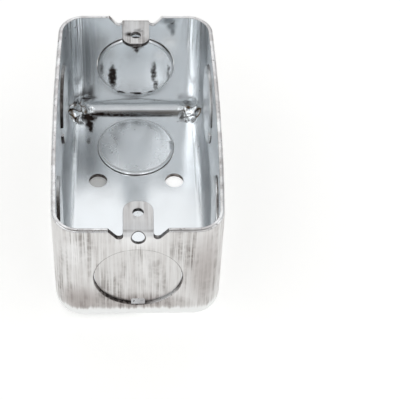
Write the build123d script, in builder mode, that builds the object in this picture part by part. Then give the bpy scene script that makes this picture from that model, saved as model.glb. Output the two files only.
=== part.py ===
from build123d import *

import os
from math import cos, radians, sin, sqrt

os.makedirs("parts", exist_ok=True)

# A handy box: one piece of galvanised sheet, drawn to a deep tray, pierced and bent.
# It lies on its back at z = 0 with its mouth up. X is its width and Y its length.

# Drawn shell, outside sizes in mm
length = 101.6  # over the two end walls
end_width = 54.4  # across an end wall, before its corners are rounded
side_crown = 1.2  # each long wall bows out by this much at mid-length
depth = 47.6  # from the back to the rim
sheet = 1.6  # thickness of the steel
corner = 9.0  # upright corners between the walls
back_fillet = 7.0  # from the walls round to the back

# Knockouts: sheared slugs, pushed inwards and held by one tie each
knockout = 28.8  # bore left when the slug is struck out
shear_gap = 0.2  # between the slug and its bore
slug_push = 1.1  # how far a slug stands in from its wall
shear_break = 0.35  # edge that the shear breaks away on a slug's inner face
tie_width = 4.6
tie_step = 1.6  # length over which a tie slopes from the wall to its slug
tie_reach = 1.5  # how far it runs on into each of them
tie_side = 0.2  # how far it reaches past the cut that the slug has for it, at each side
tie_neck = 0.2  # it is this much thinner than the sheet on each face
end_knockout_rise = 0.2  # from mid-depth, towards the mouth
side_knockout_rise = 2.2  # from mid-depth, towards the mouth
side_knockout_place = 27.0  # from mid-length, towards each end
back_knockout_place = 28.5  # from mid-length, towards the far end

# Mounting holes through the back
mounting_hole = 6.7
mounting_spacing = 28.0
mounting_place = 11.8  # from mid-length, towards the far end

# Device ears, bent inwards from the top of each end wall
device_spacing = 83.3  # between the two device screws
device_hole = 3.5
ear_width = 9.7
ear_end = 4.7  # from the screw to the tip
ear_tip_corner = 3.9
ear_drop = 1.3  # from the rim down to the ear's top face
ear_bend = 0.6  # inside radius of the bend
bend_hole = 4.2  # pierced through the bend
bend_hole_drop = 3.3  # from the rim to that hole's centre on the outer face
bend_hole_tilt = 32.0  # of its axis, in degrees up from level

# Notches that free each ear from its end wall
notch_width = 19.2  # over both notches at the rim
notch_floor_width = 13.4  # over both notches at their foot
notch_depth = 3.7
notch_corner = 1.2

# Cutters run this far past the faces that they cut
overrun = 5.0

half_length = length / 2
bore_radius = knockout / 2
slug_radius = bore_radius - shear_gap
slug_crest = slug_push + sheet
tie_root = sqrt(bore_radius**2 - (tie_width / 2) ** 2)  # where a tie leaves the wall at its edges
tie_foot = tie_root - tie_step
end_knockout_height = depth / 2 + end_knockout_rise
side_knockout_height = depth / 2 + side_knockout_rise
crown_radius = (half_length**2 + side_crown**2) / (2 * side_crown)
ear_top = depth - ear_drop
bend_outside = ear_bend + sheet
bend_start = ear_top - bend_outside
device_place = device_spacing / 2
ear_tip = device_place - ear_end


def shell_section(height, inset):
    """Level section of the drawn shell: straight ends, crowned sides, round corners."""
    half_width = end_width / 2
    middle = half_width + side_crown
    with BuildSketch(Plane.XY.offset(height)) as section:
        with BuildLine():
            Line((-half_width, -half_length), (half_width, -half_length))
            ThreePointArc((half_width, -half_length), (middle, 0), (half_width, half_length))
            Line((half_width, half_length), (-half_width, half_length))
            ThreePointArc((-half_width, half_length), (-middle, 0), (-half_width, -half_length))
        make_face()
        fillet(section.vertices(), corner)
        if inset:
            offset(amount=-inset, mode=Mode.REPLACE)
    return section.sketch


def side_face(side, end):
    """Plane on a long wall's outer face at a knockout, facing inwards, x axis to mid-length."""
    across = sqrt(crown_radius**2 - side_knockout_place**2)
    face_x = end_width / 2 + side_crown - crown_radius + across
    centre = (side * face_x, end * side_knockout_place, side_knockout_height)
    to_middle = (side * side_knockout_place, -end * across, 0)
    inwards = (-side * across, -end * side_knockout_place, 0)
    return Plane(centre, x_dir=to_middle, z_dir=inwards)


def end_face(end, height):
    """Plane on an end wall's outer face, facing inwards, x axis down to the back."""
    return Plane((0, end * half_length, height), x_dir=(0, 0, -1), z_dir=(0, -end, 0))


# Hollow of the tray, with its own radius between walls and floor
with BuildPart() as hollow:
    add(shell_section(sheet, sheet))
    extrude(amount=depth)
    fillet(hollow.faces().sort_by(Axis.Z)[0].edges(), back_fillet - sheet)

# Outer faces that carry a knockout, each with its x axis towards the tie
knockout_faces = [side_face(side, end) for side in (-1, 1) for end in (-1, 1)]
knockout_faces += [end_face(end, end_knockout_height) for end in (-1, 1)]
knockout_faces.append(Plane((0, back_knockout_place, 0), x_dir=(1, 0, 0), z_dir=(0, 0, 1)))

with BuildPart() as box_body:
    # Drawn tray
    add(shell_section(0, 0))
    extrude(amount=depth)
    fillet(box_body.faces().sort_by(Axis.Z)[0].edges(), back_fillet)
    add(hollow.part, mode=Mode.SUBTRACT)

    for end in (-1, 1):
        # Top of the end wall opened between the notches, and a strip bent in from there
        section = Plane((0, 0, 0), x_dir=(0, end, 0), z_dir=(end, 0, 0))
        with BuildSketch(section):
            with Locations((half_length - sheet / 2, bend_start)):
                Rectangle(sheet + overrun, depth, align=(Align.CENTER, Align.MIN))
        extrude(amount=notch_floor_width / 2, both=True, mode=Mode.SUBTRACT)
        with BuildSketch(section):
            with BuildLine():
                root = Line((half_length - sheet, bend_start), (half_length, bend_start))
                outer_bend = RadiusArc(root @ 1, (half_length - bend_outside, ear_top), -bend_outside)
                top = Line(outer_bend @ 1, (ear_tip, ear_top))
                tip = Line(top @ 1, (ear_tip, ear_top - sheet))
                under = Line(tip @ 1, (half_length - bend_outside, ear_top - sheet))
                RadiusArc(under @ 1, root @ 0, ear_bend)
            make_face()
        extrude(amount=notch_floor_width / 2, both=True)

        # Two notches trim the wall and the strip, and leave the ear at its width
        upright = Plane((0, end * half_length, 0), x_dir=(end, 0, 0), z_dir=(0, -end, 0))
        with BuildSketch(upright) as notches:
            with BuildLine():
                Polyline(
                    (ear_width / 2, depth + overrun),
                    (ear_width / 2, depth - notch_depth),
                    (notch_floor_width / 2, depth - notch_depth),
                    (notch_width / 2, depth),
                    (notch_width / 2, depth + overrun),
                    close=True,
                )
            make_face()
            fillet(notches.vertices().group_by(Axis.Y)[0], notch_corner)
            mirror(about=Plane.YZ)
        extrude(amount=half_length - ear_tip + overrun, mode=Mode.SUBTRACT)

        # Hole pierced through the bend
        tilt = radians(bend_hole_tilt)
        across_bend = Plane((0, end * half_length, depth - bend_hole_drop), z_dir=(0, end * cos(tilt), sin(tilt)))
        with BuildSketch(across_bend):
            Circle(bend_hole / 2)
        extrude(amount=sheet + overrun, both=True, mode=Mode.SUBTRACT)

    # Rounded ear tips and device screw holes
    upright_edges = box_body.edges().filter_by(Axis.Z)
    fillet(upright_edges.filter_by_position(Axis.Y, -device_place, device_place), ear_tip_corner)
    with Locations((0, -device_place, ear_top), (0, device_place, ear_top)):
        Hole(device_hole / 2, depth=sheet + overrun)

    # Mounting holes through the back
    with Locations((0, mounting_place, sheet)):
        with GridLocations(mounting_spacing, 1, 2, 1):
            Hole(mounting_hole / 2, depth=sheet + overrun)

    for face in knockout_faces:
        radial = Plane(face.origin, x_dir=face.x_dir, z_dir=-face.y_dir)
        axis = Axis(face.origin, face.z_dir)
        # Bore through the wall
        with BuildSketch(face):
            Circle(bore_radius)
        extrude(amount=sheet + overrun, both=True, mode=Mode.SUBTRACT)
        # Slug, pushed in, with its edge broken on the inner face
        with BuildSketch(radial):
            with BuildLine():
                Polyline(
                    (0, slug_push),
                    (slug_radius, slug_push),
                    (slug_radius, slug_crest - shear_break),
                    (slug_radius - shear_break, slug_crest),
                    (0, slug_crest),
                    close=True,
                )
            make_face()
        revolve(axis=axis)
        # Tie, a strip that slopes from the wall to the slug, in a cut in the slug's edge
        with BuildSketch(radial):
            with Locations((tie_foot, slug_push + sheet / 2)):
                Rectangle(tie_step, sheet + overrun, align=(Align.MIN, Align.CENTER))
        extrude(amount=tie_width / 2 - tie_side, both=True, mode=Mode.SUBTRACT)
        with BuildSketch(radial):
            with BuildLine():
                Polyline(
                    (tie_root + tie_reach, tie_neck),
                    (tie_root, tie_neck),
                    (tie_foot, slug_push + tie_neck),
                    (tie_foot - tie_reach, slug_push + tie_neck),
                    (tie_foot - tie_reach, slug_crest - tie_neck),
                    (tie_foot, slug_crest - tie_neck),
                    (tie_root, sheet - tie_neck),
                    (tie_root + tie_reach, sheet - tie_neck),
                    close=True,
                )
            make_face()
        extrude(amount=tie_width / 2, both=True)

box_body.part.label = "box_body"
export_step(box_body.part, "parts/box_body.step")
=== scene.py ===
from math import atan2, cos, hypot, pi, radians, sin

import bpy
from mathutils import Matrix, Vector, noise


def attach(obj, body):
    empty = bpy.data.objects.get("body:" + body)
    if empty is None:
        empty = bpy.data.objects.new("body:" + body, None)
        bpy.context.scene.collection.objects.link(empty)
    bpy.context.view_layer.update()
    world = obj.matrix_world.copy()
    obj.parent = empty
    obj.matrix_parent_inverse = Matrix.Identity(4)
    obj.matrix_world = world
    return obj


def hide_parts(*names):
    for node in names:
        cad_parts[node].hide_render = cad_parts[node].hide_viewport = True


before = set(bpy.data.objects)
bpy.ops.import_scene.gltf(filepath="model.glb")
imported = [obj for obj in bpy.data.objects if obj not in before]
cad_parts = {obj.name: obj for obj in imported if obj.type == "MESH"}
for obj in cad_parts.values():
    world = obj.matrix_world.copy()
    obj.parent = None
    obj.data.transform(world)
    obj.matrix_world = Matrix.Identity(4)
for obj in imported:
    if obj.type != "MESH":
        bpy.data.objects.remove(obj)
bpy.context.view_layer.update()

mm = 0.001
noiseGain = 0.6  # how much of each finer layer a noise texture keeps
noiseMean = 0.5


def linear(hexColour):  # sRGB hex to the linear colour that a shader takes
    parts = [int(hexColour[i:i + 2], 16) / 255 for i in (1, 3, 5)]
    return tuple(c / 12.92 if c <= 0.04045 else ((c + 0.055) / 1.055) ** 2.4 for c in parts) + (1.0,)


def addNode(tree, kind, settings={}, inputs={}):  # a node, its settings, and a value or link for each socket
    node = tree.nodes.new(kind)
    for name, value in settings.items():
        setattr(node, name, value)
    for name, value in inputs.items():
        if isinstance(value, bpy.types.NodeSocket):
            tree.links.new(value, node.inputs[name])
        else:
            node.inputs[name].default_value = value
    return node


def newMaterial(name):
    material = bpy.data.materials.new(name)
    material.use_nodes = True
    material.node_tree.nodes.clear()
    return material, material.node_tree


def objectCoords(tree):
    return addNode(tree, "ShaderNodeTexCoord").outputs["Object"]


def maths(tree, operation, *values):  # one operation on values or links
    return addNode(tree, "ShaderNodeMath", {"operation": operation}, dict(enumerate(values))).outputs[0]


def spread(tree, value, low, high, toLow=0.0, toHigh=1.0):  # low to high becomes toLow to toHigh, and stops there
    return addNode(tree, "ShaderNodeMapRange", {"interpolation_type": "SMOOTHSTEP"}, {
        "Value": value, "From Min": low, "From Max": high, "To Min": toLow, "To Max": toHigh}).outputs[0]


def blend(tree, share, first, second):  # of two colours
    return addNode(tree, "ShaderNodeMix", {"data_type": "RGBA"}, {0: share, 6: first, 7: second}).outputs[2]


def lengthOf(tree, vector):
    return addNode(tree, "ShaderNodeVectorMath", {"operation": "LENGTH"}, {0: vector}).outputs["Value"]


def fineNoise(tree, coords, size, detail):  # mottling, size in mm
    return addNode(tree, "ShaderNodeTexNoise", inputs={
        "Vector": coords, "Scale": 1 / (size * mm), "Detail": detail, "Roughness": noiseGain}).outputs["Fac"]


def drawNoise(tree, size, detail):  # streaks along the draw, width and length in mm
    lineMap = addNode(tree, "ShaderNodeUVMap", {"uv_map": "drawLines"})
    stretched = addNode(tree, "ShaderNodeMapping", inputs={
        "Vector": lineMap.outputs[0], "Scale": (1 / (size[0] * mm), 1 / (size[1] * mm), 1)})
    return addNode(tree, "ShaderNodeTexNoise", inputs={
        "Vector": stretched.outputs[0], "Scale": 1.0, "Detail": detail, "Roughness": noiseGain}).outputs["Fac"]


def bump(tree, texture, height, under=None):  # a texture raised by its height in mm, on top of another bump
    node = addNode(tree, "ShaderNodeBump", inputs={"Strength": 1.0, "Distance": height * mm, "Height": texture})
    if under:
        tree.links.new(under, node.inputs["Normal"])
    return node.outputs[0]


def metalOutput(tree, colour, polish, normal=None):
    shader = addNode(tree, "ShaderNodeBsdfPrincipled", inputs={
        "Base Color": colour, "Metallic": 1.0, "Roughness": polish})
    if normal:
        tree.links.new(normal, shader.inputs["Normal"])
    addNode(tree, "ShaderNodeOutputMaterial", inputs={"Surface": shader.outputs[0]})


def pickOnly(piece):  # deselects the rest, so that operators act on this piece alone
    bpy.ops.object.select_all(action="DESELECT")
    piece.select_set(True)
    bpy.context.view_layer.objects.active = piece


def editMode(piece, kind):  # edit mode with nothing selected, by vertex, edge or face
    pickOnly(piece)
    bpy.ops.object.mode_set(mode="EDIT")
    bpy.ops.mesh.select_mode(type=kind)
    bpy.ops.mesh.select_all(action="DESELECT")


def pick(piece, kind, wanted):  # selects the points, edges or faces that pass the test, and says how many
    editMode(piece, kind)
    bpy.ops.object.mode_set(mode="OBJECT")
    items = getattr(piece.data, {"VERT": "vertices", "EDGE": "edges", "FACE": "polygons"}[kind])
    for item in items:
        item.select = wanted(item)
    count = sum(item.select for item in items)
    bpy.ops.object.mode_set(mode="EDIT")
    return count


def edgeEnds(piece, edge):
    return [piece.data.vertices[i].co / mm for i in edge.vertices]


def edgeLength(piece, edge):
    start, end = edgeEnds(piece, edge)
    return (start - end).length


def ramp(value, low, high):  # smooth step from 0 at low to 1 at high
    t = min(max((value - low) / (high - low), 0), 1)
    return t * t * (3 - 2 * t)


def signOf(value):
    return 1 if value > 0 else -1


# Drawn box: the pressed sheet's form is the CAD node's, merged to one skin. Lengths are in mm
boxSettings = {
    "node": "box_body",
    "weld": 0.03,
    "smoothAngle": 32,
    "halfLength": 50.8,
    "depth": 47.6,
    "sheet": 1.6,
    "halfWidth": 27.2,  # at the ends
    "crown": 1.2,  # the sides bow out by this at mid-length
    "cornerCentre": (18.6, 41.8),  # axis of an upright corner
    "corner": 9.0,
    "backFillet": 7.0,
    "earWidth": 9.7,
    "earTip": 36.9,
    "deviceHole": (41.65, 1.75),  # place along the length, and radius
    "bendHole": (44.3, 2.1, 32),  # height on the outer face, radius, and tilt in degrees
    "notchWidth": 19.2,
    "mountingHoles": ((-14.0, 11.8), (14.0, 11.8)),
    "mountingRadius": 3.35,
    "trimLine": 41.0,  # the rim, notches and ears are above this height
    "rimRound": (0.7, 0.2),  # rounding of the rim's outer and inner edge, which the draw pulls round
    "edgeRound": 0.18,  # of the other trimmed edges
    "boreRoll": 0.14,  # edge of the knockouts' bores, on the outer face
    "segments": {"trimmed": 3, "rolled": 1},
    "rimTouch": 0.01,  # an edge this near to the rim's height is on it
    "skinTouch": 0.05,  # and this near to a skin
    "boreTouch": 0.06,  # and this near to a bore's radius
    "mouthLift": (-0.2, 0.22),  # a bore's outer edge lies this far in from the wall's outer face
    "endApart": 400,  # between the two ends' draw marks on their map
}

# Knockouts: outer face, direction inwards, and the bore. The slugs bulge a little, as punched ones do
knockoutSettings = {
    "places": [
        ((28.06, 27.0, 26.0), (-0.99968, -0.0251, 0)), ((28.06, -27.0, 26.0), (-0.99968, 0.0251, 0)),
        ((-28.06, 27.0, 26.0), (0.99968, -0.0251, 0)), ((-28.06, -27.0, 26.0), (0.99968, 0.0251, 0)),
        ((0, 50.8, 24.0), (0, -1, 0)), ((0, -50.8, 24.0), (0, 1, 0)),
        ((0, 28.5, 0), (0, 0, 1)),
    ],
    "bore": 14.4,
    "slug": 14.2,
    "faces": (1.1, 2.7),  # a slug's outer and inner face, in from the wall's outer face
    "faceTouch": 0.05,  # a face this near to that height is on it
    "pointTouch": 0.02,
    "lift": (0.9, 3.0),  # a slug lies between these heights
    "bulgedLift": (0.9, 3.6),
    "edgeLift": (1.1, 2.5),  # and its edge between these
    "flat": 0.97,  # cosine to the knockout's axis from which a face is flat
    "upright": 0.3,  # and up to which it stands on edge
    "margin": 3.0,  # nothing of a slug is further than this past its radius
    "still": 0.4,  # outermost part that doesn't bulge
    "torn": 1.95,  # its edge is torn to here, and burnished further in
    "tornLeft": 2.7,  # in the left wall it is torn right through
    "bulge": 0.5,
    "turns": 4,  # of dividing
    "finest": 2.2,  # longest edge left on a slug
    "closest": 0.8,  # points nearer than this are merged, away from its edge
    "middle": 12.0,
    "ringDepth": 5.0,  # rings painted round a knockout reach this far along its axis
}
knockouts = [(Vector(place), Vector(inwards)) for place, inwards in knockoutSettings["places"]]

# What tells one kind of face from another: lengths in mm, then cosines
faceLimits = {
    "slack": 0.03,  # past a hole's edge
    "bendSlack": 0.05,
    "earSlack": 0.1,
    "slugLift": (-0.8, 3.6),  # a knockout's faces lie this far in from the wall's outer face
    "shearBand": 0.5,  # from a bore in to its slug's edge
    "tieBand": 2.0,
    "earRoot": 2.4,  # from the end's outer face in to where an ear is level
    "endBand": 2.5,
    "rimBand": 0.5,
    "level": 0.9,
    "sloped": 0.7,
    "radial": 0.6,
    "broken": 0.5,
    "notched": 0.35,
    "upright": 0.3,
}


def fromAxis(point, place, direction):  # how far along an axis a point is, and the arm out to it
    away = point - place
    along = away.dot(direction)
    return along, away - along * direction


def skinDepth(point, settings):  # how far a point lies under the outer skin of the shell
    x, y = abs(point.x), abs(point.y)
    cx, cy = settings["cornerCentre"]
    crown = settings["crown"] * (1 - (y / settings["halfLength"]) ** 2)
    inset = min(settings["halfWidth"] + crown - x, settings["halfLength"] - y)
    if x > cx and y > cy:
        inset = settings["corner"] - hypot(x - cx, y - cy)
    across, down = settings["backFillet"] - inset, settings["backFillet"] - point.z
    if across > 0 and down > 0:
        return settings["backFillet"] - hypot(across, down)
    return min(inset, point.z)


def insideFace(centre):  # a face of the hollow, nearer to it than to the outer skin
    return skinDepth(centre, boxSettings) > boxSettings["sheet"] / 2 and centre.z < boxSettings["depth"]


def bendAxis(end, settings):  # of the hole through an ear's bend: a place on it, and its direction
    height, _, tilt = settings["bendHole"]
    place = Vector((0, end * settings["halfLength"], height))
    return place, Vector((0, end * cos(radians(tilt)), sin(radians(tilt))))


def knockoutSurface(centre, normal, shell, settings, limits):
    low, high = limits["slugLift"]
    for place, inwards in knockouts:
        lift, across = fromAxis(centre, place, inwards)
        radius = across.length
        if radius >= settings["bore"] + shell["boreRoll"] + limits["slack"] or not low < lift < high:
            continue
        facing, outwards = normal.dot(inwards), normal.dot(across.normalized())
        onEdge = radius > settings["bore"] - limits["shearBand"]
        if onEdge and abs(facing) < limits["level"] and abs(outwards) > limits["radial"]:
            burnished = lift > settings["tornLeft" if place.x < 0 else "torn"]
            if burnished and facing > limits["broken"]:
                return "inside"
            return "trimmed" if burnished and outwards > 0 else "sheared"
        if radius < settings["bore"]:
            onTie = radius > settings["bore"] - limits["tieBand"]
            if onTie and -limits["level"] < facing < -limits["sloped"]:
                return "trimmed"  # the tie, stretched bright
            return "inside" if facing > 0 else "outside"


def holeSurface(centre, normal, shell, limits):
    for hole in shell["mountingHoles"]:
        near = (centre.xy - Vector(hole)).length < shell["mountingRadius"] + limits["slack"]
        if near and abs(normal.z) < limits["broken"]:
            return "sheared"
    if centre.z > shell["trimLine"]:
        place, radius = shell["deviceHole"]
        near = hypot(centre.x, abs(centre.y) - place) < radius + limits["slack"]
        if near and abs(normal.z) < limits["radial"]:
            return "sheared"
        across = fromAxis(centre, *bendAxis(signOf(centre.y), shell))[1]
        if across.length < shell["bendHole"][1] + limits["bendSlack"]:
            return "sheared"


def trimSurface(centre, normal, shell, limits):  # ears, notches and rim
    if centre.z <= shell["trimLine"]:
        return None
    x, y = abs(centre.x), abs(centre.y)
    onEar = shell["earTip"] - limits["earSlack"] < y < shell["halfLength"] - limits["earRoot"]
    if onEar and x < shell["earWidth"] / 2 + limits["earSlack"]:
        if abs(normal.z) < limits["level"]:
            return "sheared" if abs(normal.z) < limits["upright"] else "trimmed"
        return "outside" if normal.z > 0 else "inside"
    if y > shell["halfLength"] - limits["endBand"] and x < shell["notchWidth"] / 2:
        beside = x > shell["earWidth"] / 2 and normal.z > limits["notched"]
        if beside or abs(normal.x) > limits["notched"]:
            return "sheared"
        return "outside" if normal.y * signOf(centre.y) + normal.z > 0 else "inside"
    if normal.z > limits["upright"] and centre.z > shell["depth"] - limits["rimBand"]:
        return "trimmed"


def surfaceOf(centre, normal):  # which finish a face has: inside, outside, sheared or trimmed
    return knockoutSurface(centre, normal, boxSettings, knockoutSettings, faceLimits) \
        or holeSurface(centre, normal, boxSettings, faceLimits) \
        or trimSurface(centre, normal, boxSettings, faceLimits) \
        or ("inside" if insideFace(centre) else "outside")


def drawnPlace(point, end, settings):  # how far round the walls from an end's middle, and how far up, in mm
    x, y = abs(point.x), abs(point.y)
    cx, cy = settings["cornerCentre"]
    up = point.z
    if y <= cy and x > cx:
        around = cx + settings["corner"] * pi / 2 + cy - y
    elif x > cx:
        around = cx + settings["corner"] * atan2(x - cx, y - cy)
    else:
        around = x
    if point.z > settings["trimLine"] and x < settings["notchWidth"] / 2:
        up += settings["halfLength"] - y  # over the bend and along the ear
    return signOf(point.x) * around + (settings["endApart"] if end > 0 else 0), up


def mergedBody(settings):
    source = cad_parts[settings["node"]]
    body = bpy.data.objects.new("drawnBox", source.data.copy())
    bpy.context.scene.collection.objects.link(body)
    editMode(body, "VERT")
    bpy.ops.mesh.select_all(action="SELECT")
    bpy.ops.mesh.remove_doubles(threshold=settings["weld"] * mm)
    bpy.ops.mesh.customdata_custom_splitnormals_clear()
    bpy.ops.mesh.bisect(plane_co=(0, 0, 0), plane_no=(0, 1, 0))  # no face runs past mid-length
    bpy.ops.object.mode_set(mode="OBJECT")
    bpy.ops.object.shade_smooth_by_angle(angle=radians(settings["smoothAngle"]))
    return body


def breakEdges(body, settings):  # rounds the trimmed edges, then rolls the outer edge of each bore
    def roundOf(edge, a, b):
        lowest = min(a.z, b.z)
        if not edge.use_edge_sharp or lowest < settings["trimLine"]:
            return 0
        under, touch = skinDepth((a + b) / 2, settings), settings["skinTouch"]
        if lowest > settings["depth"] - settings["rimTouch"]:
            if under < touch:
                return settings["rimRound"][0]
            if under > settings["sheet"] - touch:
                return settings["rimRound"][1]
        return settings["edgeRound"]

    def rollOf(edge, a, b):
        low, high = settings["mouthLift"]
        for place, inwards in knockouts:
            lift, across = fromAxis((a + b) / 2, place, inwards)
            if abs(across.length - knockoutSettings["bore"]) < settings["boreTouch"] and low < lift < high:
                return settings["boreRoll"] if edge.use_edge_sharp else 0
        return 0

    weights = "bevel_weight_edge"
    for name, sizeOf in (("trimmed", roundOf), ("rolled", rollOf)):
        sizes = [sizeOf(edge, *edgeEnds(body, edge)) for edge in body.data.edges]
        widest = max(sizes)
        layers = body.data.attributes
        layer = layers.get(weights) or layers.new(weights, "FLOAT", "EDGE")
        for weight, size in zip(layer.data, sizes):
            weight.value = size / widest
        pickOnly(body)
        bevel = body.modifiers.new(name, "BEVEL")
        bevel.width = widest * mm
        bevel.segments = settings["segments"][name]
        bevel.limit_method = "WEIGHT"
        bevel.use_clamp_overlap = False
        bevel.loop_slide = False  # the flat faces are triangles, whose edges lead the wrong way
        bpy.ops.object.modifier_apply(modifier=bevel.name)
        print(name, sum(size > 0 for size in sizes), "edges")


def bulgeSlugs(body, settings):  # divides each slug's flat faces, and lifts them towards the middle
    def slugPlace(point):  # the slug that a point belongs to: its direction, and the point's radius and lift
        low, high = settings["lift"]
        for place, inwards in knockouts:
            lift, across = fromAxis(point, place, inwards)
            if low < lift < high and across.length < settings["slug"]:
                return inwards, across.length, lift

    def offFace(lift):
        return min(abs(lift - height) for height in settings["faces"])

    def onFace(face):
        found = slugPlace(face.center / mm)
        return bool(found) and abs(face.normal.dot(found[0])) > settings["flat"] \
            and offFace(found[2]) < settings["faceTouch"]

    def inMiddle(point):
        found = slugPlace(point.co / mm)
        return bool(found) and found[1] < settings["middle"] and offFace(found[2]) < settings["pointTouch"]

    def evenOut():  # the flat faces, as even triangles
        count = pick(body, "FACE", onFace)
        bpy.ops.mesh.quads_convert_to_tris()
        bpy.ops.mesh.beautify_fill()
        bpy.ops.object.mode_set(mode="OBJECT")
        return count

    low, high = settings["edgeLift"]
    for place, inwards in knockouts:
        def onEdge(face):
            away = face.center / mm - place
            return away.length < settings["bore"] + settings["margin"] and low < away.dot(inwards) < high \
                and abs(face.normal.dot(inwards)) < settings["upright"] and face.normal.dot(away) > 0

        pick(body, "FACE", onEdge)
        bpy.ops.mesh.bisect(plane_co=(place + inwards * settings["torn"]) * mm, plane_no=inwards)
        bpy.ops.object.mode_set(mode="OBJECT")
    for _ in range(settings["turns"]):
        shared = {}
        for face in body.data.polygons:
            if onFace(face):
                for key in face.edge_keys:
                    shared[key] = shared.get(key, 0) + 1
        pick(body, "EDGE", lambda e: shared.get(e.key) == 2 and edgeLength(body, e) > settings["finest"])
        bpy.ops.mesh.subdivide(number_cuts=1)
        bpy.ops.object.mode_set(mode="OBJECT")
        evenOut()
    pick(body, "VERT", inMiddle)
    bpy.ops.mesh.remove_doubles(threshold=settings["closest"] * mm)
    bpy.ops.object.mode_set(mode="OBJECT")
    count = evenOut()
    for point in body.data.vertices:
        found = slugPlace(point.co / mm)
        if found and found[1] < settings["slug"] - settings["still"]:
            point.co += found[0] * settings["bulge"] * mm * (1 - (found[1] / settings["slug"]) ** 2)
    print("slugs", count, "faces")


# Puckers: drawn metal gathers into small sharp folds where three fillets meet on the inside. Lengths are in mm
puckerSettings = {
    "centre": (21.4, 45.4, 4.2),  # of a corner's fillets, for each sign of x and y
    "box": (13.0, 35.6, 14.0),  # faces further out than x and y, and lower than z, may fold
    "cutHeight": 40.0,  # faces lower than this are cut at that box's sides
    "reach": (3.2, 6.4),  # full folds to here, none from here
    "seed": 9,
    "wander": (1.6, 4.0),  # how far the outline strays, and over what length
    "bend": (1.5, 3.5),  # how far a fold strays, and over what length
    "fold": 3.4,  # size of a fold
    "stretch": 1.7,  # folds are this much longer down the wall
    "crease": 0.16,  # share of a fold that its crease takes
    "height": (0.75, 0.9, 0.4),  # of a fold's middle, then its fall outwards and into the crease
    "creaseShadeAndScorch": (0.5, 0.45),  # painted shade in a crease, and how burnt a patch is
    "patch": (3.2, 0.1, 0.5),  # size of a patch, and the noise at which it starts and is full
    "turns": 7,  # of dividing
    "finest": 0.42,  # longest edge left after it
    "lift": {(-1, 1): 1.2, (1, 1): 0.7, (-1, -1): 0.6, (1, -1): 0.6},
    # how strongly each corner is burnt and shaded in its creases
    "burn": {(-1, 1): 1.0, (1, 1): 0.8, (-1, -1): 0.4, (1, -1): 0.4},
}


def puckerCorners(body, settings):  # folds the inner skin, and keeps how burnt each point is, with painted shade in the creases
    x0, y0, z0 = settings["box"]
    for no, co in (((1, 0, 0), x0), ((0, 1, 0), y0), ((0, 0, 1), z0)):
        for sign in ((1,) if no[2] else (-1, 1)):
            pick(body, "FACE", lambda f: insideFace(f.center / mm) and (f.center / mm).z < settings["cutHeight"])
            bpy.ops.mesh.bisect(plane_co=[v * co * sign * mm for v in no], plane_no=no)
            bpy.ops.object.mode_set(mode="OBJECT")

    def inCorner(c):
        return abs(c.x) > x0 and abs(c.y) > y0 and c.z < z0 and insideFace(c)

    for _ in range(settings["turns"]):
        inner = set()
        for face in body.data.polygons:
            if inCorner(face.center / mm):
                inner.update(face.edge_keys)
        if pick(body, "EDGE", lambda e: e.key in inner and edgeLength(body, e) > settings["finest"]):
            bpy.ops.mesh.subdivide(number_cuts=1)
        bpy.ops.object.mode_set(mode="OBJECT")
    normals = {}
    for face in body.data.polygons:
        if inCorner(face.center / mm):
            for i in face.vertices:
                normals[i] = normals.get(i, Vector()) + face.normal
    burnt = body.data.attributes.new("burnt", "FLOAT", "POINT")
    noise.seed_set(settings["seed"])
    wander, wanderSize = settings["wander"]
    bend, bendSize = settings["bend"]
    top, fall, dent = settings["height"]
    creaseShade, patchScorch = settings["creaseShadeAndScorch"]
    patchSize, *patchRange = settings["patch"]
    for i, normal in normals.items():
        point = body.data.vertices[i]
        place = point.co / mm
        sign = (signOf(place.x), signOf(place.y))
        middle = Vector((settings["centre"][0] * sign[0], settings["centre"][1] * sign[1], settings["centre"][2]))
        away = (place - middle).length + wander * noise.noise(place / wanderSize)
        weight = 1 - ramp(away, *settings["reach"])
        bent = place + bend * noise.noise_vector(place / bendSize)
        bent.z /= settings["stretch"]
        near, further = noise.voronoi(bent / settings["fold"])[0][:2]
        crease = max(0, 1 - (further - near) / settings["crease"])
        height = top - fall * near - dent * crease
        point.co += normal.normalized() * height * weight * settings["lift"][sign] * mm
        creaseShadeAndScorch = creaseShade * crease + patchScorch * ramp(noise.noise(place / patchSize), *patchRange)
        burnt.data[i].value = min(1, weight * creaseShadeAndScorch * settings["burn"][sign])
    print("puckered", len(normals), "points")


def smoothSlugs(body, settings):  # normals that follow the bulge, so that the slugs mirror evenly
    normals = [corner.vector.copy() for corner in body.data.corner_normals]
    points, loops = body.data.vertices, body.data.loops
    low, high = settings["bulgedLift"]
    slope = 2 * settings["bulge"] / settings["slug"] ** 2
    for place, inwards in knockouts:
        for face in body.data.polygons:
            lift, arm = fromAxis(face.center / mm, place, inwards)
            facing = face.normal.dot(inwards)
            if not low < lift < high or abs(facing) < settings["flat"] \
                    or arm.length >= settings["slug"] - settings["still"]:
                continue
            for loop in face.loop_indices:
                across = fromAxis(points[loops[loop].vertex_index].co / mm, place, inwards)[1]
                normals[loop] = signOf(facing) * (inwards + across * slope).normalized()
    body.data.normals_split_custom_set(normals)
    print("slug normals set")


def markDrawLines(body, settings):  # UV map in metres, along and across the direction of the draw
    lines = body.data.uv_layers.new(name="drawLines")
    for face in body.data.polygons:
        end = signOf(face.center.y)
        for loop in face.loop_indices:
            point = body.data.vertices[body.data.loops[loop].vertex_index].co / mm
            lines.data[loop].uv = [v * mm for v in drawnPlace(point, end, settings)]


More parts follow.
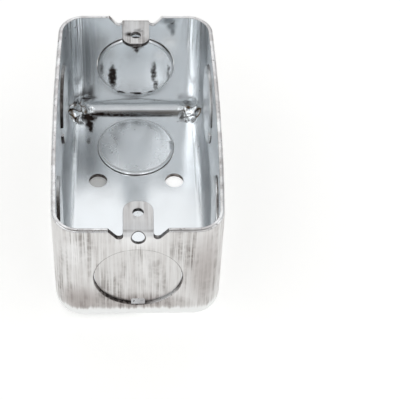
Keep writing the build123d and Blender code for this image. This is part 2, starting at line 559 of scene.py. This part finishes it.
def finishBody(body, settings):  # smooth fillets, flat flats, and each face in its finish
    pickOnly(body)
    bpy.ops.object.shade_smooth_by_angle(angle=radians(settings["smoothAngle"]))
    weighted = body.modifiers.new("flatFaces", "WEIGHTED_NORMAL")
    weighted.keep_sharp = True
    bpy.ops.object.modifier_apply(modifier=weighted.name)
    body.data.materials.clear()
    slots = list(finishes)
    for name in slots:
        body.data.materials.append(finishes[name])
    counts = dict.fromkeys(slots, 0)
    for face in body.data.polygons:
        name = surfaceOf(face.center / mm, face.normal)
        face.material_index = slots.index(name)
        counts[name] += 1
    print("finishes", counts)


# Stains on the inside: burnt drawing oil and rubbed zinc, with painted shade along the far bottom fillet and the left
# floor strip. Place, reach in x, y and z (mm), and depth of tone
stainSettings = {
    "oilBlotchesAndShade": [
        ((-8.6, 48.1, 20.0), (2.6, 4, 10.5), 1.2),
        ((-12.6, 48.1, 23.5), (1.4, 4, 7.0), 0.75),
        ((6.8, 48.1, 22.5), (2.0, 4, 9.5), 0.85),
        ((7.6, 48.1, 15.5), (1.8, 4, 5.5), 0.8),
        ((12.2, 48.4, 22.0), (1.4, 4, 8.0), 0.7),
        ((0.3, 48.1, 35.0), (3.8, 4, 2.4), 1.0),
        ((0.2, 48.1, 33.2), (1.7, 4, 2.4), 1.0),
        ((13.4, 49.2, 45.6), (2.2, 3, 2.0), 0.6),
        ((-17.8, 43.8, 1.8), (4.8, 3.4, 5), 1.3),
        ((-17.5, 40.8, 1.6), (2.8, 4.2, 4), 1.2),
        ((-17.0, 38.2, 1.6), (1.5, 3.4, 4), 1.1),
        ((-17.8, 32.0, 1.6), (1.7, 3.2, 4), 0.7),
        # painted shade: the dark band along the far bottom fillet
        ((-13.5, 45.6, 2.0), (8.0, 1.5, 2), 1.1),
        ((-6.0, 45.2, 1.8), (15.0, 1.3, 2), 0.95),
        ((9.0, 45.0, 1.8), (12.0, 0.9, 2), 0.85),
        ((-18.5, 49.0, 7.2), (4.5, 3, 1.0), 0.95),
        ((-23.0, 47.3, 6.6), (2.2, 2.5, 1.6), 0.8),
        ((17.8, 43.8, 1.6), (2.2, 3.2, 3), 0.8),
        ((23.4, 45.8, 3.0), (1.6, 1.6, 2.5), 0.9),
        ((19.8, 48.5, 5.2), (3.0, 2.5, 2.2), 0.7),
        ((-5.7, 48.3, 10.9), (3.0, 3, 2.0), 1.3),
        ((0.6, 48.3, 9.9), (3.8, 3, 1.8), 1.3),
        ((6.0, 48.3, 11.2), (2.4, 3, 1.7), 1.1),
    ],
    "streaks": [  # draw marks down from the rim
        ((-22.0, 47.5, 42.0), (7.5, 6, 18), 0.75),
        ((22.0, 47.0, 42.0), (7.5, 7, 17), 0.75),
        ((-22.5, -47.0, 42.0), (9.0, 7, 17), 0.6),
        ((22.0, -47.0, 42.0), (7.5, 7, 17), 0.6),
    ],
    "dulledAndShaded": [  # zinc that has lost its shine, painted darker over the far wall's left half, and painted shade along the far bottom fillet and the left floor strip
        ((11.8, 49.2, 46.4), (4.6, 3, 3.0), 0.9),
        ((13.0, 49.2, 44.0), (2.8, 3, 4.0), 0.9),
        ((13.5, 49.2, 41.4), (1.5, 3, 3.6), 0.9),
        ((-21.5, 50.5, 28.0), (15.0, 7, 34), 1.0),
        ((27.0, 46.0, 38.0), (5.0, 8, 16), 0.5),
        # painted shade along the far bottom fillet, and on the floor strip by the left wall
        ((0, 45.6, 1.9), (22.0, 1.9, 2), 0.6),
        ((-22.0, 24.0, 1.6), (9.0, 26, 4), 0.45),
    ],
    "core": 0.15,  # share of a spot's reach in which it is full
    "breakUp": 1.3,  # mm, grain of a stain's edge
    "ragged": 1.5,  # how far that grain eats into it
    "soft": (0.2, 1.15),  # depth at which a stain starts to show and is full
    "edge": 0.2,  # below this depth the grain fades too
    "streakLines": (0.46, 0.66),  # noise of the draw marks that shows in a streak
    "dullLines": (0.2, 0.55, 0.55, 1.0),  # and in dulled zinc, and how much of it shows
    "oilAndShade": "#362C28",
    "oilBurn": (0.5, 0.8),  # burn and painted crease shade on the puckers at which the oil colour shows
    "burnt": "#6C5B47",
    "zincBurn": (0.15, 0.5),  # and at which the burnt brown does
    "dullAndShadeGrey": "#84888B",
    "dirtPolish": 0.3,  # added roughness
}


def strongest(tree, masks):
    total = masks[0]
    for mask in masks[1:]:
        total = maths(tree, "MAXIMUM", total, mask)
    return total


def spotMask(tree, coords, spots):  # strongest of several soft spots, 0 to 1
    masks = []
    for place, reach, depth in spots:
        local = addNode(tree, "ShaderNodeMapping", {"vector_type": "TEXTURE"}, {
            "Vector": coords, "Location": [v * mm for v in place], "Scale": [v * mm for v in reach]})
        masks.append(spread(tree, lengthOf(tree, local.outputs[0]), 1.0, stainSettings["core"], 0.0, depth))
    return strongest(tree, masks)


def axisPlace(tree, coords, place, direction):  # how far from an axis, and how far along it, in metres
    local = addNode(tree, "ShaderNodeMapping", {"vector_type": "TEXTURE"}, {
        "Vector": coords, "Location": [v * mm for v in place],
        "Rotation": direction.to_track_quat("Z", "Y").to_euler()})
    parts = addNode(tree, "ShaderNodeSeparateXYZ", inputs={0: local.outputs[0]})
    flat = addNode(tree, "ShaderNodeVectorMath", {"operation": "MULTIPLY"}, {0: local.outputs[0], 1: (1, 1, 0)})
    return lengthOf(tree, flat.outputs[0]), parts.outputs["Z"]


def rimRings(tree, coords, radii):  # a soft ring round each knockout: radii at which it starts, is full, ends, is gone
    starts, full, ends, gone = (radius * mm for radius in radii)
    rings = []
    for place, inwards in knockouts:
        across, along = axisPlace(tree, coords, place, inwards)
        ring = maths(tree, "MULTIPLY", spread(tree, across, starts, full), spread(tree, across, ends, gone, 1, 0))
        near = maths(tree, "LESS_THAN", maths(tree, "ABSOLUTE", along), knockoutSettings["ringDepth"] * mm)
        rings.append(maths(tree, "MULTIPLY", ring, near))
    return strongest(tree, rings)


# Zinc on the inside: hot dipped, then drawn over a polished punch, so it is a bright cool grey with soft mirrored
# shapes, a little uneven, with specks of dirt and burnt oil in the corners, painted shade in the puckers' creases and
# along the far bottom fillet, and a painted highlight near each slug's edge
zincInside = {
    "pale": "#F8FAFB",
    "cool": "#ECF0F3",
    "clouds": 13.0,  # mm, tone and gloss vary over this
    "cloudRange": (0.3, 0.7),  # of their noise, over which the gloss varies
    "polish": (0.15, 0.24),  # roughness
    "scuffed": 0.22,  # more of it on the long walls, which the punch rubs, and in these places
    "scuffs": [
        ((0, 28.5, 2.7), (19.0, 19.0, 4), 0.65),
    ],
    "sideWalls": (22.0, 26.0),  # mm from the middle, where the rubbing starts and is full
    "rolled": (13.1, 13.4, 13.9, 14.1),  # mm, a pale ring painted near each slug's edge as its highlight, where the slug is also more matt
    "rolledPolish": 0.3,
    "waves": 24.0,  # mm, unevenness of the sheet
    "waveHeight": 0.12,
    "grain": 0.8,  # mm, coarser than the real grain so that it shows
    "grainHeight": 0.003,
    "specks": 4.2,  # mm apart
    "speckSize": (0.075, 0.0375),  # of that distance, where a speck ends and is full
    "speckless": 0.55,  # share of the cells that have none
    "lines": (0.9, 40.0),  # mm, width and length of a draw mark
}


def insideFinish(settings, stains):
    material, tree = newMaterial("galvanisedZincInside")
    coords = objectCoords(tree)
    clouds = fineNoise(tree, coords, settings["clouds"], detail=4.0)
    lines = drawNoise(tree, settings["lines"], detail=3.0)
    rolled = rimRings(tree, coords, settings["rolled"])
    tone = blend(tree, clouds, linear(settings["cool"]), linear(settings["pale"]))
    # painted highlight: a pale ring near each slug's edge
    tone = blend(tree, rolled, tone, linear(settings["pale"]))

    def masked(spots, texture):
        return maths(tree, "MULTIPLY", spotMask(tree, coords, spots), texture)

    # dull zinc, with painted shade along the far bottom fillet and the left floor strip
    dulledAndShaded = masked(stains["dulledAndShaded"], spread(tree, lines, *stains["dullLines"]))
    streaks = masked(stains["streaks"], spread(tree, lines, *stains["streakLines"]))
    broken = maths(tree, "SUBTRACT", fineNoise(tree, coords, stains["breakUp"], detail=4.0), noiseMean)
    spots = spotMask(tree, coords, stains["oilBlotchesAndShade"])
    ragged = spread(tree, maths(tree, "MULTIPLY_ADD", broken, stains["ragged"], spots), *stains["soft"])
    oilBlotchesAndShade = maths(tree, "MULTIPLY", ragged, spread(tree, spots, 0, stains["edge"]))
    cells = addNode(tree, "ShaderNodeTexVoronoi", inputs={"Vector": coords, "Scale": 1 / (settings["specks"] * mm)})
    cellTone = addNode(tree, "ShaderNodeSeparateColor", inputs={0: cells.outputs["Color"]})
    speckled = maths(tree, "GREATER_THAN", cellTone.outputs[0], settings["speckless"])
    specks = maths(tree, "MULTIPLY", spread(tree, cells.outputs["Distance"], *settings["speckSize"]), speckled)
    dirtAndShade = strongest(tree, [oilBlotchesAndShade, streaks, specks])

    # burnt patches, with painted shade in the puckers' creases
    burnt = addNode(tree, "ShaderNodeAttribute", {"attribute_name": "burnt"}).outputs["Fac"]
    oilAndShadeShare = maths(tree, "MAXIMUM", dirtAndShade, spread(tree, burnt, *stains["oilBurn"]))
    colour = blend(tree, dulledAndShaded, tone, linear(stains["dullAndShadeGrey"]))
    colour = blend(tree, spread(tree, burnt, *stains["zincBurn"]), colour, linear(stains["burnt"]))
    colour = blend(tree, oilAndShadeShare, colour, linear(stains["oilAndShade"]))

    place = addNode(tree, "ShaderNodeSeparateXYZ", inputs={0: coords})
    onSide = spread(tree, maths(tree, "ABSOLUTE", place.outputs["X"]), *[v * mm for v in settings["sideWalls"]])
    scuffed = maths(tree, "MAXIMUM", onSide, spotMask(tree, coords, settings["scuffs"]))
    polish = spread(tree, clouds, *settings["cloudRange"], *settings["polish"])
    polish = maths(tree, "MULTIPLY_ADD", dirtAndShade, stains["dirtPolish"], polish)
    polish = maths(tree, "MULTIPLY_ADD", scuffed, settings["scuffed"], polish)
    polish = maths(tree, "MULTIPLY_ADD", rolled, settings["rolledPolish"], polish)

    uneven = bump(tree, fineNoise(tree, coords, settings["waves"], detail=1.0), settings["waveHeight"])
    grained = bump(tree, fineNoise(tree, coords, settings["grain"], detail=2.0), settings["grainHeight"], uneven)
    metalOutput(tree, colour, polish, grained)
    return material


# Zinc on the outside: the die drags along it as the sheet is drawn, so it is dull, with brownish streaks down the
# walls that stop at the fillet, where the sheet was not dragged
zincOutside = {
    "pale": "#EAEBEB",
    "warm": "#D0CCCA",
    "streak": "#6F6661",
    "rubsAndHighlights": "#B6B0AE",
    "fine": (0.36, 26.0),  # mm, width and length of the scratches
    "broad": (1.25, 36.0),  # and of the streaks
    "patch": (7.5, 24.0),  # and of where they crowd
    "fineShare": 0.5,  # of the scratches in the streaks
    "streakStart": (9.0, 11.0),  # mm up the wall, where they start and are full
    "startRagged": 4.0,  # mm, they start lower by up to this
    "lineTone": (0.4, 0.6),  # noise that shows as a streak
    "patchTone": (0.42, 0.68, 0.16, 0.8),  # noise over which they crowd, and how thick they get
    "mottle": 3.0,  # mm, breaks the streaks up
    "mottleTone": (0.3, 0.6, 0.35, 1.0),
    "crowds": [  # where they are thickest
        ((-10.5, -50.8, 19.0), (6.5, 3, 17), 0.9),
        ((6.0, -50.8, 27.0), (4.5, 3, 12), 0.95),
        ((-25.0, -48.0, 17.0), (8.0, 6, 15), 0.9),
        ((13.0, -50.8, 38.0), (6.0, 3, 9), 0.75),
        ((2.0, -50.8, 11.0), (24.0, 4, 6), 0.8),
        ((24.0, -48.0, 16.0), (8.0, 6, 14), 0.6),
    ],
    "clear": [  # smooth places with fewer streaks, painted paler as a highlight
        ((0, -49.5, 43.8), (10.0, 6, 8), 1.0),
        ((-21.0, -50.0, 37.0), (8.0, 6, 10), 0.7),
        ((2.5, -50.8, 28.0), (4.6, 3, 13), 0.7),
        ((-1.0, 44.0, 46.3), (6.0, 7, 3), 0.7),
    ],
    "clearShare": 0.8,  # of the streaks that is lost there
    "clearPolish": 0.3,  # added roughness
    "paleHighlight": "#F7F7F7",
    "blots": [  # dirt
        ((-2.2, 41.9, 46.3), (2.6, 1.8, 2), 1.0),
        ((1.5, 44.0, 46.3), (3.0, 1.4, 2), 0.5),
        ((-1.0, -43.5, 46.3), (1.0, 1.6, 2), 0.4),
    ],
    "blotTone": (0.3, 0.55),
    "ring": (0.42, 0.15),  # mm past the holes through the bends, where the painted shade round them ends and is full
    "bendHoleShadeTone": 0.85,
    "boreShadeLine": (14.2, 14.35, 14.5, 14.85),  # mm, a painted shade line round the knockouts' bores
    "boreShadeTone": (0.3, 0.6, 0.3, 0.7),
    "dirtAndShade": "#3A3532",
    "rubs": [  # smooth greyer places
        ((22.0, -50.0, 27.0), (9.0, 7, 26), 0.8),
        ((-20.0, -50.8, 12.0), (16.0, 5, 11), 1.0),
        ((0, -50.8, 10.0), (26.0, 4, 7), 0.8),
    ],
    "polish": (0.32, 0.5),  # roughness of bare and streaked zinc
    "scratchHeight": 0.005,
}


def outsideFinish(settings):
    material, tree = newMaterial("galvanisedZincOutside")
    coords = objectCoords(tree)
    fine, broad, patch = (drawNoise(tree, settings[name], detail=3.0) for name in ("fine", "broad", "patch"))
    mottle = fineNoise(tree, coords, settings["mottle"], detail=4.0)
    clear = spotMask(tree, coords, settings["clear"])
    lineMap = addNode(tree, "ShaderNodeUVMap", {"uv_map": "drawLines"})
    place = addNode(tree, "ShaderNodeSeparateXYZ", inputs={0: lineMap.outputs[0]})
    height = maths(tree, "MULTIPLY_ADD", broad, settings["startRagged"] * mm, place.outputs["Y"])
    onWall = spread(tree, height, *[v * mm for v in settings["streakStart"]])

    broadPart = maths(tree, "MULTIPLY", broad, 1 - settings["fineShare"])
    lines = maths(tree, "MULTIPLY_ADD", fine, settings["fineShare"], broadPart)
    crowds = strongest(tree, [spread(tree, patch, *settings["patchTone"]), spotMask(tree, coords, settings["crowds"])])
    crowded = maths(tree, "MULTIPLY", crowds, spread(tree, mottle, *settings["mottleTone"]))
    kept = maths(tree, "SUBTRACT", 1.0, maths(tree, "MULTIPLY", clear, settings["clearShare"]))
    dragged = maths(tree, "MULTIPLY", onWall, kept)
    marked = maths(tree, "MULTIPLY", spread(tree, lines, *settings["lineTone"]), crowded)
    streaks = maths(tree, "MULTIPLY", marked, dragged)

    rubsAndHighlights = maths(tree, "MULTIPLY", spotMask(tree, coords, settings["rubs"]), onWall)
    zinc = blend(tree, maths(tree, "MULTIPLY", broad, onWall), linear(settings["pale"]), linear(settings["warm"]))
    zinc = blend(tree, rubsAndHighlights, zinc, linear(settings["rubsAndHighlights"]))
    # painted highlight: the clear places are paler
    zinc = blend(tree, clear, zinc, linear(settings["paleHighlight"]))
    colour = blend(tree, streaks, zinc, linear(settings["streak"]))

    spots = spotMask(tree, coords, settings["blots"])
    blots = [maths(tree, "MULTIPLY", spots, spread(tree, mottle, *settings["blotTone"]))]
    for end in (-1, 1):
        # painted shade round the holes through the bends
        across, _ = axisPlace(tree, coords, *bendAxis(end, boxSettings))
        ring = spread(tree, across, *[(boxSettings["bendHole"][1] + v) * mm for v in settings["ring"]])
        blots.append(maths(tree, "MULTIPLY", ring, settings["bendHoleShadeTone"]))
    # painted shade line round the knockouts' bores
    rings = rimRings(tree, coords, settings["boreShadeLine"])
    blots.append(maths(tree, "MULTIPLY", rings, spread(tree, mottle, *settings["boreShadeTone"])))
    colour = blend(tree, strongest(tree, blots), colour, linear(settings["dirtAndShade"]))

    polish = spread(tree, streaks, 0, 1, *settings["polish"])
    polish = maths(tree, "MULTIPLY_ADD", clear, settings["clearPolish"], polish)
    scratched = bump(tree, maths(tree, "MULTIPLY", fine, onWall), settings["scratchHeight"])
    metalOutput(tree, colour, polish, scratched)
    return material


# Sheared steel in the bores and holes: torn through, so it is dull and darker, with a brighter burnished part.
# The trimmed edges of the rim, notches and ears are rubbed bright; painted highlights lie on some bores' and notches'
# edges and on the far rim
edgeSettings = {
    "sheared": {
        "name": "shearedSteel",
        "tones": ("#443F3D", "#8E8885"),
        "polish": (0.5, 0.34),
        "grain": 1.1,  # mm
        "nicks": 1.0,  # mm
        "edgeHighlight": "#F4F4F4",
        # painted highlights on the bores' and notches' edges
        "rubsAndHighlights": [
            ((9.0, -50.0, 13.0), (9.0, 3, 9), 1.0),
            ((27.0, 27.0, 36.0), (4, 16, 10), 1.0),
            ((-26.0, 35.0, 37.5), (6, 12, 8), 1.0),
            ((-26.0, -20.0, 38.5), (6, 13, 8), 1.0),
            ((8.0, 50.0, 45.5), (6, 3, 6), 1.0),
            ((-6.5, 50.0, 44.5), (4, 3, 4), 0.9),
            ((8.0, -50.0, 45.5), (4, 3, 5), 0.4),
        ],
        "dirtAndShade": "#3A3331",
        # painted shade in the left wall's torn bores
        "grimeAndShade": [
            ((-26.0, 15.0, 26.0), (5, 13, 14), 1.0),
            ((-26.0, -38.0, 34.0), (5, 11, 12), 1.0),
        ],
    },
    "trimmed": {
        "name": "trimmedSteel",
        "tones": ("#D5D2D1", "#F6F6F6"),
        "polish": (0.34, 0.24),
        "grain": 5.0,
        "nicks": 1.4,
        "edgeHighlight": "#F4F4F4",
        # a painted highlight along the far rim
        "rubsAndHighlights": [((0, 50.0, 47.0), (30, 6, 4), 0.6)],
        "dirtAndShade": "#4A4240",
        "grimeAndShade": [((28.0, -28.0, 47.4), (4, 22, 4), 0.25)],
    },
}
wearSettings = {"worn": (0.35, 0.65), "nicked": (0.62, 0.72), "nickTone": 0.7}  # noise that shows, and how strongly


def edgeFinish(settings, wear):
    material, tree = newMaterial(settings["name"])
    coords = objectCoords(tree)
    worn = spread(tree, fineNoise(tree, coords, settings["grain"], detail=4.0), *wear["worn"])
    nicks = spread(tree, fineNoise(tree, coords, settings["nicks"], detail=2.0), *wear["nicked"])
    colour = blend(tree, worn, *[linear(tone) for tone in settings["tones"]])
    # painted highlights
    colour = blend(tree, spotMask(tree, coords, settings["rubsAndHighlights"]), colour, linear(settings["edgeHighlight"]))
    colour = blend(tree, maths(tree, "MULTIPLY", nicks, wear["nickTone"]), colour, linear(settings["dirtAndShade"]))
    # painted shade in the torn bores, and grime
    colour = blend(tree, spotMask(tree, coords, settings["grimeAndShade"]), colour, linear(settings["dirtAndShade"]))
    metalOutput(tree, colour, spread(tree, worn, 0, 1, *settings["polish"]))
    return material


finishes = {"inside": insideFinish(zincInside, stainSettings), "outside": outsideFinish(zincOutside)}
for name, settings in edgeSettings.items():
    finishes[name] = edgeFinish(settings, wearSettings)
print("finishes made")

box = mergedBody(boxSettings)
breakEdges(box, boxSettings)
bulgeSlugs(box, knockoutSettings)
puckerCorners(box, puckerSettings)
markDrawLines(box, boxSettings)
finishBody(box, boxSettings)
smoothSlugs(box, knockoutSettings)
print("body", len(box.data.vertices), "points", len(box.data.polygons), "faces")
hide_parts("box_body")
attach(box, "root")

# Stage: a pale floor that stays white to the camera and in the metal, and keeps the shadow
stageSettings = {
    "floorSize": 6.0,  # metres
    "floorDrop": 0.03,  # mm
    "floorPaint": "#F4F4F2",
    "floorGlow": 0.44,
    "underGlow": (0.16, 1.45),  # share of it under the left and right hole of the box: painted shade under the left, painted light under the right
    "underFade": 8.0,  # mm
    "footprint": (("X", 27.0), ("Y", 50.0)),  # half the box's width and length, in mm
}


def paleFloor(settings):
    bpy.ops.mesh.primitive_plane_add(size=settings["floorSize"], location=(0, 0, -settings["floorDrop"] * mm))
    floor = bpy.context.object
    floor.name = "paleFloor"
    material, tree = newMaterial("paintedFloor")
    paint = addNode(tree, "ShaderNodeBsdfDiffuse", inputs={"Color": linear(settings["floorPaint"])})
    path = addNode(tree, "ShaderNodeLightPath")
    seen = strongest(tree, [path.outputs[f"Is {ray} Ray"] for ray in ("Camera", "Glossy", "Transmission")])
    parts = addNode(tree, "ShaderNodeSeparateXYZ", inputs={0: objectCoords(tree)})
    fade = settings["underFade"]
    covered = [spread(tree, maths(tree, "ABSOLUTE", parts.outputs[axis]), (half - fade) * mm, half * mm, 1, 0)
               for axis, half in settings["footprint"]]
    # painted shade and light on the floor under the box's holes
    share = spread(tree, parts.outputs["X"], -fade * mm, fade * mm, *[glow - 1 for glow in settings["underGlow"]])
    share = maths(tree, "MULTIPLY_ADD", maths(tree, "MULTIPLY", *covered), share, 1.0)
    level = maths(tree, "MULTIPLY", maths(tree, "MULTIPLY", seen, settings["floorGlow"]), share)
    glow = addNode(tree, "ShaderNodeEmission", inputs={"Strength": level})
    both = addNode(tree, "ShaderNodeAddShader", inputs={0: paint.outputs[0], 1: glow.outputs[0]})
    addNode(tree, "ShaderNodeOutputMaterial", inputs={"Surface": both.outputs[0]})
    floor.data.materials.append(material)


paleFloor(stageSettings)
print("floor laid")

# Studio: white all round to the camera, with a darker ceiling in what the metal mirrors
studioSettings = {
    "white": "#FFFFFF",
    "fill": 0.44,  # light that reaches matt surfaces
    "wall": "#C6C8CA",
    "ceiling": "#66625F",
    "ceilingRange": (0.84, 0.95),  # sine of the height at which the wall gives way to it, and is gone
}


def studioWorld(settings):
    world = bpy.data.worlds.new("studio")
    bpy.context.scene.world = world
    world.use_nodes = True
    tree = world.node_tree
    tree.nodes.clear()
    where = addNode(tree, "ShaderNodeTexCoord")
    parts = addNode(tree, "ShaderNodeSeparateXYZ", inputs={0: where.outputs["Generated"]})
    height = spread(tree, parts.outputs["Z"], *settings["ceilingRange"])
    room = blend(tree, height, linear(settings["wall"]), linear(settings["ceiling"]))
    path = addNode(tree, "ShaderNodeLightPath")
    mirrored = maths(tree, "MAXIMUM", path.outputs["Is Glossy Ray"], path.outputs["Is Transmission Ray"])

    def background(colour, strength):
        return addNode(tree, "ShaderNodeBackground", inputs={"Color": colour, "Strength": strength}).outputs[0]

    fill, mirror = background(linear(settings["white"]), settings["fill"]), background(room, 1.0)
    lit = addNode(tree, "ShaderNodeMixShader", inputs={0: mirrored, 1: fill, 2: mirror})
    seen = addNode(tree, "ShaderNodeMixShader", inputs={
        0: path.outputs["Is Camera Ray"], 1: lit.outputs[0], 2: background(linear(settings["white"]), 1.0)})
    addNode(tree, "ShaderNodeOutputWorld", inputs={"Surface": seen.outputs[0]})


# Soft boxes: heading is clockwise from the far side, height above the floor, both in degrees
softBoxSettings = {
    "reach": 1.0,  # metres away
    "watts": 4.0,  # for each square metre and unit of glow
    "panels": [
        {"name": "backPanel", "heading": 0, "height": 50, "size": (0.95, 0.5), "glow": 0.36},
        {"name": "frontRight", "heading": 151, "height": 46, "size": (0.38, 0.32), "glow": 1.15},
        {"name": "frontLeft", "heading": -147, "height": 46, "size": (0.38, 0.32), "glow": 1.1},
        {"name": "leftSide", "heading": -100, "height": 44, "size": (0.7, 0.5), "glow": 0.6},
        {"name": "rightSide", "heading": 100, "height": 44, "size": (0.7, 0.5), "glow": 0.6},
    ],
}


def softBox(panel, settings):
    heading, height = radians(panel["heading"]), radians(panel["height"])
    away = Vector((sin(heading) * cos(height), cos(heading) * cos(height), sin(height)))
    lamp = bpy.data.lights.new(panel["name"], "AREA")
    lamp.shape = "RECTANGLE"
    lamp.size, lamp.size_y = panel["size"]
    lamp.energy = panel["glow"] * settings["watts"] * lamp.size * lamp.size_y
    holder = bpy.data.objects.new(panel["name"], lamp)
    bpy.context.scene.collection.objects.link(holder)
    holder.location = away * settings["reach"]
    holder.rotation_euler = (-away).to_track_quat("-Z", "Y").to_euler()


studioWorld(studioSettings)
for panel in softBoxSettings["panels"]:
    softBox(panel, softBoxSettings)
print("lamps set")

# Camera, at the photograph's viewing angle
cameraSettings = {
    "place": (-3.766, -317.448, 369.738),  # mm
    "yaw": -4.806,
    "pitch": 48.944,
    "roll": 3.324,
    "lens": 120.59,
    "sensor": 36,
    "clip": (0.01, 50),  # metres
}


def photoCamera(settings):
    yaw, pitch, roll = (radians(settings[turn]) for turn in ("yaw", "pitch", "roll"))
    forward = Vector((-cos(pitch) * sin(yaw), cos(pitch) * cos(yaw), -sin(pitch)))
    level = Vector((cos(yaw), sin(yaw), 0))
    upright = level.cross(forward)
    right = cos(roll) * level + sin(roll) * upright
    up = cos(roll) * upright - sin(roll) * level
    lensData = bpy.data.cameras.new("photoCamera")
    lensData.sensor_width = settings["sensor"]
    lensData.lens = settings["lens"]
    lensData.clip_start, lensData.clip_end = settings["clip"]
    camera = bpy.data.objects.new("photoCamera", lensData)
    bpy.context.scene.collection.objects.link(camera)
    turn = Matrix((right, up, -forward)).transposed().to_4x4()
    camera.matrix_world = Matrix.Translation(Vector(settings["place"]) * mm) @ turn
    bpy.context.scene.camera = camera


photoCamera(cameraSettings)
bpy.context.scene.view_settings.view_transform = "Standard"
